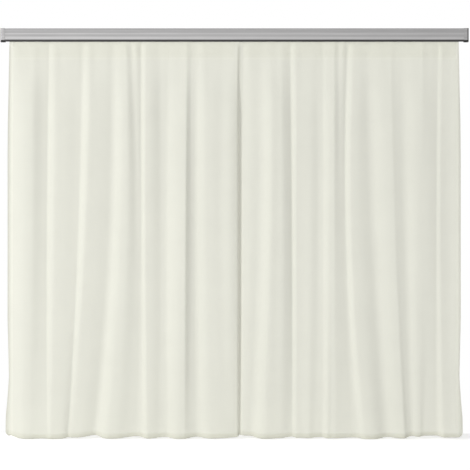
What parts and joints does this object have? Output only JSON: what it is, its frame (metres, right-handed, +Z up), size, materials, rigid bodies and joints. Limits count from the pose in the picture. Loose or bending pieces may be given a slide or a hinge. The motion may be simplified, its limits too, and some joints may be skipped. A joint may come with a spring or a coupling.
{
  "type": "curtain pair on rail",
  "caption": "Pair of full-width sheer curtains on a flat-faced metal wall rail, hung from sliding gliders that let each curtain draw to its side.",
  "frame": {"origin": "centre of the middle bracket's wall face", "axes": "+X along the rail to the right as seen from the room, +Y into the wall, so -Y faces the room, +Z up"},
  "size_m": [2.89, 0.1112, 2.5285],
  "materials": {
    "brushed_aluminium": "fine brushed, satin",
    "dark_anodised": "charcoal anodised, satin",
    "zinc_steel": "zinc plated",
    "white_nylon": "moulded nylon, satin",
    "sheer_cloth": "fine plain-weave sheer",
    "woven_tape": "woven heading tape",
    "cord_yarn": "braided cord",
    "lead_yarn": "braided sleeve over small weights"
  },
  "bodies": {
    "rail": {"track_profile": "dark_anodised", "fascia_profile": "brushed_aluminium", "left_end_cap": "brushed_aluminium", "right_end_cap": "brushed_aluminium", "wall_bracket_left": "zinc_steel", "wall_bracket_middle": "zinc_steel", "wall_bracket_right": "zinc_steel", "left_curtain": "sheer_cloth", "left_outer_hem": "sheer_cloth", "left_heading_tape": "woven_tape", "left_draw_cord_upper": "cord_yarn", "left_draw_cord_lower": "cord_yarn", "left_hem_weight": "lead_yarn", "left_end_stop": "white_nylon", "left_stop_screw": "zinc_steel", "right_curtain": "sheer_cloth", "right_outer_hem": "sheer_cloth", "right_heading_tape": "woven_tape", "right_draw_cord_upper": "cord_yarn", "right_draw_cord_lower": "cord_yarn", "right_hem_weight": "lead_yarn", "right_end_stop": "white_nylon", "right_stop_screw": "zinc_steel"},
    "left_leader": {"left_glider_14": "white_nylon", "left_leading_hem": "sheer_cloth"},
    "left_runner_13": {"left_glider_13": "white_nylon"},
    "left_runner_12": {"left_glider_12": "white_nylon"},
    "left_runner_11": {"left_glider_11": "white_nylon"},
    "left_runner_10": {"left_glider_10": "white_nylon"},
    "left_runner_09": {"left_glider_09": "white_nylon"},
    "left_runner_08": {"left_glider_08": "white_nylon"},
    "left_runner_07": {"left_glider_07": "white_nylon"},
    "left_runner_06": {"left_glider_06": "white_nylon"},
    "left_runner_05": {"left_glider_05": "white_nylon"},
    "left_runner_04": {"left_glider_04": "white_nylon"},
    "left_runner_03": {"left_glider_03": "white_nylon"},
    "left_runner_02": {"left_glider_02": "white_nylon"},
    "left_runner_01": {"left_glider_01": "white_nylon"},
    "right_leader": {"right_glider_14": "white_nylon", "right_leading_hem": "sheer_cloth"},
    "right_runner_13": {"right_glider_13": "white_nylon"},
    "right_runner_12": {"right_glider_12": "white_nylon"},
    "right_runner_11": {"right_glider_11": "white_nylon"},
    "right_runner_10": {"right_glider_10": "white_nylon"},
    "right_runner_09": {"right_glider_09": "white_nylon"},
    "right_runner_08": {"right_glider_08": "white_nylon"},
    "right_runner_07": {"right_glider_07": "white_nylon"},
    "right_runner_06": {"right_glider_06": "white_nylon"},
    "right_runner_05": {"right_glider_05": "white_nylon"},
    "right_runner_04": {"right_glider_04": "white_nylon"},
    "right_runner_03": {"right_glider_03": "white_nylon"},
    "right_runner_02": {"right_glider_02": "white_nylon"},
    "right_runner_01": {"right_glider_01": "white_nylon"},
    "clamp_left": {"clamp_lever_left": "white_nylon"},
    "clamp_middle": {"clamp_lever_middle": "white_nylon"},
    "clamp_right": {"clamp_lever_right": "white_nylon"}
  },
  "joints": [
    {"name": "left_draw", "type": "slide", "parent": "rail", "child": "left_leader", "axis": [-1, 0, 0], "range_m": [0, 1.113], "deforming": ["left_curtain", "left_heading_tape", "left_draw_cord_upper", "left_draw_cord_lower", "left_hem_weight"]},
    {"name": "left_glide_13", "type": "slide", "parent": "rail", "child": "left_runner_13", "axis": [-1, 0, 0], "range_m": [0, 1.0335]},
    {"name": "left_glide_12", "type": "slide", "parent": "rail", "child": "left_runner_12", "axis": [-1, 0, 0], "range_m": [0, 0.954]},
    {"name": "left_glide_11", "type": "slide", "parent": "rail", "child": "left_runner_11", "axis": [-1, 0, 0], "range_m": [0, 0.8745]},
    {"name": "left_glide_10", "type": "slide", "parent": "rail", "child": "left_runner_10", "axis": [-1, 0, 0], "range_m": [0, 0.795]},
    {"name": "left_glide_09", "type": "slide", "parent": "rail", "child": "left_runner_09", "axis": [-1, 0, 0], "range_m": [0, 0.7155]},
    {"name": "left_glide_08", "type": "slide", "parent": "rail", "child": "left_runner_08", "axis": [-1, 0, 0], "range_m": [0, 0.636]},
    {"name": "left_glide_07", "type": "slide", "parent": "rail", "child": "left_runner_07", "axis": [-1, 0, 0], "range_m": [0, 0.5565]},
    {"name": "left_glide_06", "type": "slide", "parent": "rail", "child": "left_runner_06", "axis": [-1, 0, 0], "range_m": [0, 0.477]},
    {"name": "left_glide_05", "type": "slide", "parent": "rail", "child": "left_runner_05", "axis": [-1, 0, 0], "range_m": [0, 0.3975]},
    {"name": "left_glide_04", "type": "slide", "parent": "rail", "child": "left_runner_04", "axis": [-1, 0, 0], "range_m": [0, 0.318]},
    {"name": "left_glide_03", "type": "slide", "parent": "rail", "child": "left_runner_03", "axis": [-1, 0, 0], "range_m": [0, 0.2385]},
    {"name": "left_glide_02", "type": "slide", "parent": "rail", "child": "left_runner_02", "axis": [-1, 0, 0], "range_m": [0, 0.159]},
    {"name": "left_glide_01", "type": "slide", "parent": "rail", "child": "left_runner_01", "axis": [-1, 0, 0], "range_m": [0, 0.0795]},
    {"name": "right_draw", "type": "slide", "parent": "rail", "child": "right_leader", "axis": [1, 0, 0], "range_m": [0, 1.059], "deforming": ["right_curtain", "right_heading_tape", "right_draw_cord_upper", "right_draw_cord_lower", "right_hem_weight"]},
    {"name": "right_glide_13", "type": "slide", "parent": "rail", "child": "right_runner_13", "axis": [1, 0, 0], "range_m": [0, 0.98336]},
    {"name": "right_glide_12", "type": "slide", "parent": "rail", "child": "right_runner_12", "axis": [1, 0, 0], "range_m": [0, 0.90772]},
    {"name": "right_glide_11", "type": "slide", "parent": "rail", "child": "right_runner_11", "axis": [1, 0, 0], "range_m": [0, 0.83207]},
    {"name": "right_glide_10", "type": "slide", "parent": "rail", "child": "right_runner_10", "axis": [1, 0, 0], "range_m": [0, 0.75643]},
    {"name": "right_glide_09", "type": "slide", "parent": "rail", "child": "right_runner_09", "axis": [1, 0, 0], "range_m": [0, 0.68079]},
    {"name": "right_glide_08", "type": "slide", "parent": "rail", "child": "right_runner_08", "axis": [1, 0, 0], "range_m": [0, 0.60514]},
    {"name": "right_glide_07", "type": "slide", "parent": "rail", "child": "right_runner_07", "axis": [1, 0, 0], "range_m": [0, 0.5295]},
    {"name": "right_glide_06", "type": "slide", "parent": "rail", "child": "right_runner_06", "axis": [1, 0, 0], "range_m": [0, 0.45386]},
    {"name": "right_glide_05", "type": "slide", "parent": "rail", "child": "right_runner_05", "axis": [1, 0, 0], "range_m": [0, 0.37822]},
    {"name": "right_glide_04", "type": "slide", "parent": "rail", "child": "right_runner_04", "axis": [1, 0, 0], "range_m": [0, 0.30257]},
    {"name": "right_glide_03", "type": "slide", "parent": "rail", "child": "right_runner_03", "axis": [1, 0, 0], "range_m": [0, 0.22693]},
    {"name": "right_glide_02", "type": "slide", "parent": "rail", "child": "right_runner_02", "axis": [1, 0, 0], "range_m": [0, 0.15129]},
    {"name": "right_glide_01", "type": "slide", "parent": "rail", "child": "right_runner_01", "axis": [1, 0, 0], "range_m": [0, 0.07564]},
    {"name": "clamp_turn_left", "type": "hinge", "parent": "rail", "child": "clamp_left", "pos_m": [-1.205, -0.062, 0.025], "axis": [0, 0, 1], "range_deg": [0, 90]},
    {"name": "clamp_turn_middle", "type": "hinge", "parent": "rail", "child": "clamp_middle", "pos_m": [0, -0.062, 0.025], "axis": [0, 0, 1], "range_deg": [0, 90]},
    {"name": "clamp_turn_right", "type": "hinge", "parent": "rail", "child": "clamp_right", "pos_m": [1.205, -0.062, 0.025], "axis": [0, 0, 1], "range_deg": [0, 90]}
  ],
  "couplings": [
    {"joint": "left_glide_13", "follows": "left_draw", "ratio": 0.92857},
    {"joint": "left_glide_12", "follows": "left_draw", "ratio": 0.85714},
    {"joint": "left_glide_11", "follows": "left_draw", "ratio": 0.78571},
    {"joint": "left_glide_10", "follows": "left_draw", "ratio": 0.71429},
    {"joint": "left_glide_09", "follows": "left_draw", "ratio": 0.64286},
    {"joint": "left_glide_08", "follows": "left_draw", "ratio": 0.57143},
    {"joint": "left_glide_07", "follows": "left_draw", "ratio": 0.5},
    {"joint": "left_glide_06", "follows": "left_draw", "ratio": 0.42857},
    {"joint": "left_glide_05", "follows": "left_draw", "ratio": 0.35714},
    {"joint": "left_glide_04", "follows": "left_draw", "ratio": 0.28571},
    {"joint": "left_glide_03", "follows": "left_draw", "ratio": 0.21429},
    {"joint": "left_glide_02", "follows": "left_draw", "ratio": 0.14286},
    {"joint": "left_glide_01", "follows": "left_draw", "ratio": 0.071429},
    {"joint": "right_glide_13", "follows": "right_draw", "ratio": 0.92857},
    {"joint": "right_glide_12", "follows": "right_draw", "ratio": 0.85714},
    {"joint": "right_glide_11", "follows": "right_draw", "ratio": 0.78571},
    {"joint": "right_glide_10", "follows": "right_draw", "ratio": 0.71429},
    {"joint": "right_glide_09", "follows": "right_draw", "ratio": 0.64286},
    {"joint": "right_glide_08", "follows": "right_draw", "ratio": 0.57143},
    {"joint": "right_glide_07", "follows": "right_draw", "ratio": 0.5},
    {"joint": "right_glide_06", "follows": "right_draw", "ratio": 0.42857},
    {"joint": "right_glide_05", "follows": "right_draw", "ratio": 0.35714},
    {"joint": "right_glide_04", "follows": "right_draw", "ratio": 0.28571},
    {"joint": "right_glide_03", "follows": "right_draw", "ratio": 0.21429},
    {"joint": "right_glide_02", "follows": "right_draw", "ratio": 0.14286},
    {"joint": "right_glide_01", "follows": "right_draw", "ratio": 0.071429}
  ]
}
